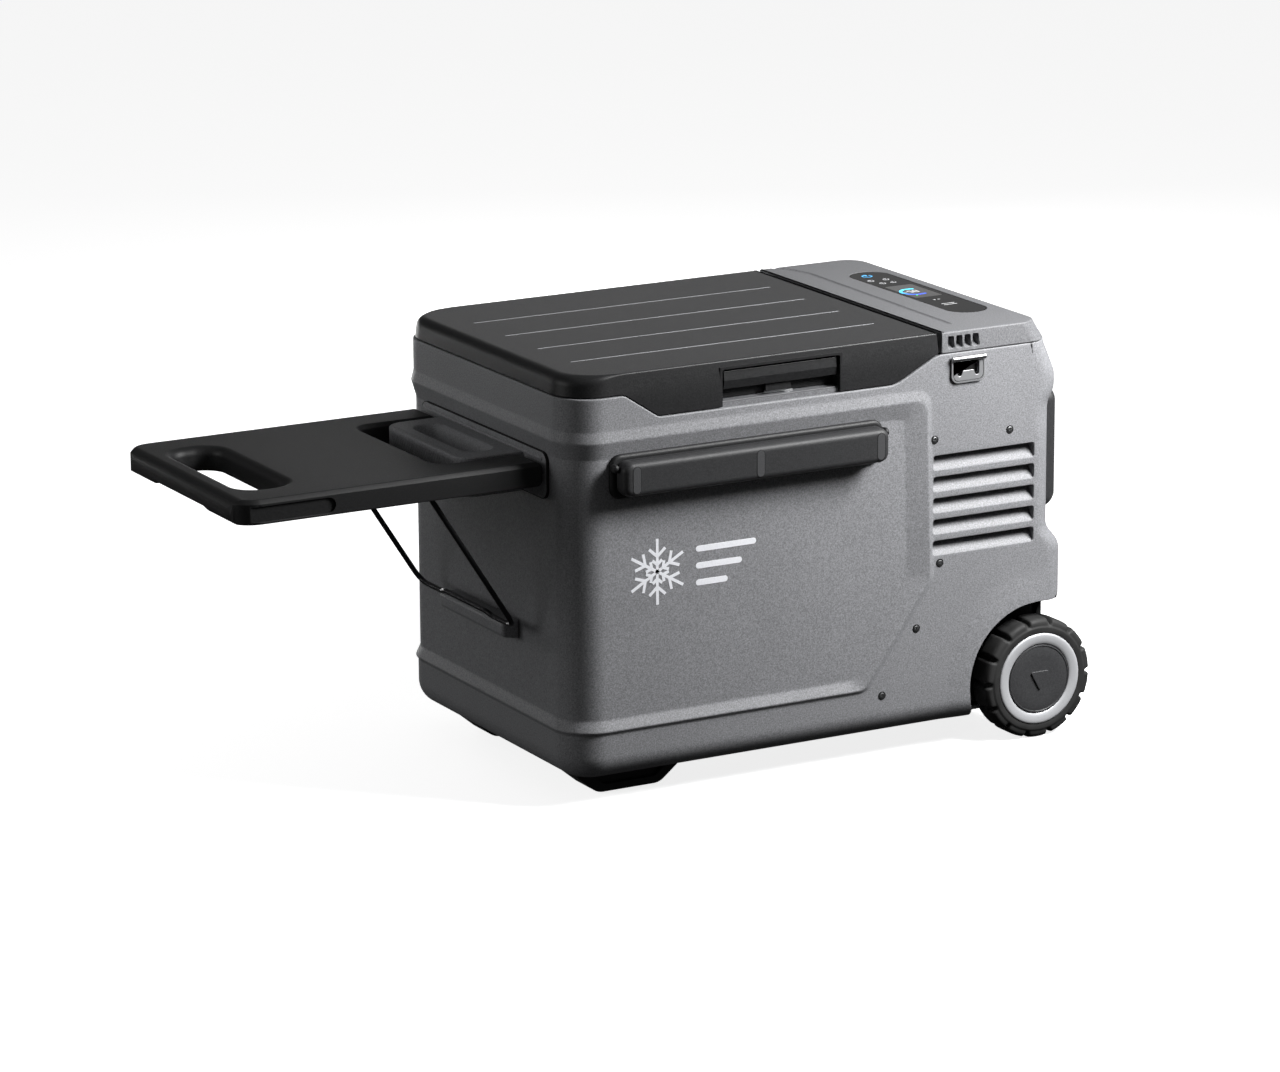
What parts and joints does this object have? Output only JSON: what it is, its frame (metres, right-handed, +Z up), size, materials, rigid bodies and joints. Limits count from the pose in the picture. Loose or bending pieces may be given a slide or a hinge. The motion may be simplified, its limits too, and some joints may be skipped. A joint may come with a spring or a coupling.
{
  "type": "compressor cooler fridge",
  "caption": "Wheeled compressor cooler with a hinged, latched lid, a fold-down table on a rod strut, carry handles, a slide-out battery and a machine compartment with a touch panel.",
  "frame": {"origin": "on the ground, under the centre of the whole object's box with the table out", "axes": "+X along the length, from the table end to the wheels, battery and machine compartment; -Y is the latch side; +Z up"},
  "size_m": [1.039, 0.458, 0.484],
  "materials": {
    "shell": "fine textured moulded plastic, mid grey",
    "panel": "fine textured moulded plastic, mid grey",
    "lid": "fine textured moulded plastic, dark grey",
    "black_plastic": "satin moulded plastic, near black",
    "table": "fine textured moulded plastic, near black",
    "handle": "fine textured moulded plastic, charcoal",
    "boss": "fine textured moulded plastic, grey",
    "battery": "fine textured moulded plastic, charcoal",
    "liner": "smooth moulded plastic, pale grey",
    "foam": "moulded polyurethane foam",
    "rubber": "soft seal rubber",
    "tyre": "matt rubber tread",
    "wheel_ring": "satin silver",
    "hub_cap": "satin moulded plastic, charcoal",
    "steel": "brushed steel",
    "black_steel": "black powder-coated steel",
    "aluminium": "mill-finish aluminium",
    "copper": "copper",
    "display": "gloss black",
    "board": "circuit board"
  },
  "bodies": {
    "cooler": {"outer_shell": "shell", "foot_bar": "black_plastic", "inner_liner": "liner", "evaporator": "aluminium", "insulation_foam": "foam", "bulkhead": "liner", "latch_striker": "steel", "lid_hinge_table_end": "black_plastic", "lid_hinge_pin_table_end": "steel", "lid_hinge_machine_end": "black_plastic", "lid_hinge_pin_machine_end": "steel", "top_panel": "panel", "display_glass": "display", "display_board": "board", "bottle_opener": "steel", "opener_screw": "steel", "compressor": "black_steel", "compressor_bracket": "steel", "condenser": "aluminium", "fan_shroud": "black_plastic", "filter_dryer": "copper", "control_board": "board", "battery_bay": "black_plastic", "battery_terminals": "copper", "discharge_line": "copper", "suction_line": "copper", "power_inlet": "black_plastic", "handle_mount_front": "black_plastic", "handle_rod_front": "steel", "handle_mount_back": "black_plastic", "handle_rod_back": "steel", "tow_plate": "shell", "tow_boss": "boss", "rod_rest": "shell", "table_pivot_front": "steel", "table_pivot_back": "steel", "axle": "steel", "cover_screw_1": "steel", "cover_screw_2": "steel", "cover_screw_3": "steel", "cover_screw_4": "steel", "cover_screw_5": "steel"},
    "lid": {"lid_shell": "lid", "lid_liner": "liner", "lid_foam": "foam", "lid_gasket": "rubber"},
    "latch": {"latch_lever": "lid"},
    "table": {"table_top": "table"},
    "rod": {"support_rod": "black_steel"},
    "front_handle": {"handle_front": "handle"},
    "back_handle": {"handle_back": "handle"},
    "front_wheel": {"tyre_front": "tyre", "rim_front": "wheel_ring", "hub_cap_front": "hub_cap"},
    "back_wheel": {"tyre_back": "tyre", "rim_back": "wheel_ring", "hub_cap_back": "hub_cap"},
    "battery": {"battery_pack": "battery"},
    "fan": {"fan_rotor": "black_plastic"}
  },
  "joints": [
    {"name": "lid_open", "type": "hinge", "parent": "cooler", "child": "lid", "pos_m": [0.0815, 0.2095, 0.461], "axis": [-1, 0, 0], "range_deg": [0, 95]},
    {"name": "latch_pull", "type": "hinge", "parent": "lid", "child": "latch", "pos_m": [0.1115, -0.194, 0.4695], "axis": [-1, 0, 0], "range_deg": [0, 25], "stiffness_Nm_per_rad": 0.05},
    {"name": "table_fold", "type": "hinge", "parent": "cooler", "child": "table", "pos_m": [-0.1665, 0, 0.368], "axis": [0, 1, 0], "range_deg": [-88, 0]},
    {"name": "strut_swing", "type": "hinge", "parent": "table", "child": "rod", "pos_m": [-0.2889, 0, 0.3734], "axis": [0, 1, 0], "range_deg": [0, 122.6]},
    {"name": "front_handle_lift", "type": "hinge", "parent": "cooler", "child": "front_handle", "pos_m": [0.068, -0.214, 0.3835], "axis": [-1, 0, 0], "range_deg": [0, 90]},
    {"name": "back_handle_lift", "type": "hinge", "parent": "cooler", "child": "back_handle", "pos_m": [0.068, 0.214, 0.3835], "axis": [1, 0, 0], "range_deg": [0, 90]},
    {"name": "front_wheel_spin", "type": "hinge", "parent": "cooler", "child": "front_wheel", "pos_m": [0.4445, -0.194, 0.07], "axis": [0, 1, 0], "continuous": true},
    {"name": "back_wheel_spin", "type": "hinge", "parent": "cooler", "child": "back_wheel", "pos_m": [0.4445, 0.194, 0.07], "axis": [0, 1, 0], "continuous": true},
    {"name": "battery_slide", "type": "slide", "parent": "cooler", "child": "battery", "axis": [1, 0, 0], "range_m": [0, 0.13]},
    {"name": "fan_spin", "type": "hinge", "parent": "cooler", "child": "fan", "pos_m": [0.3725, -0.163, 0.288], "axis": [0, 1, 0], "continuous": true}
  ],
  "couplings": [
    {"joint": "strut_swing", "follows": "table_fold", "ratio": -1.3922}
  ]
}
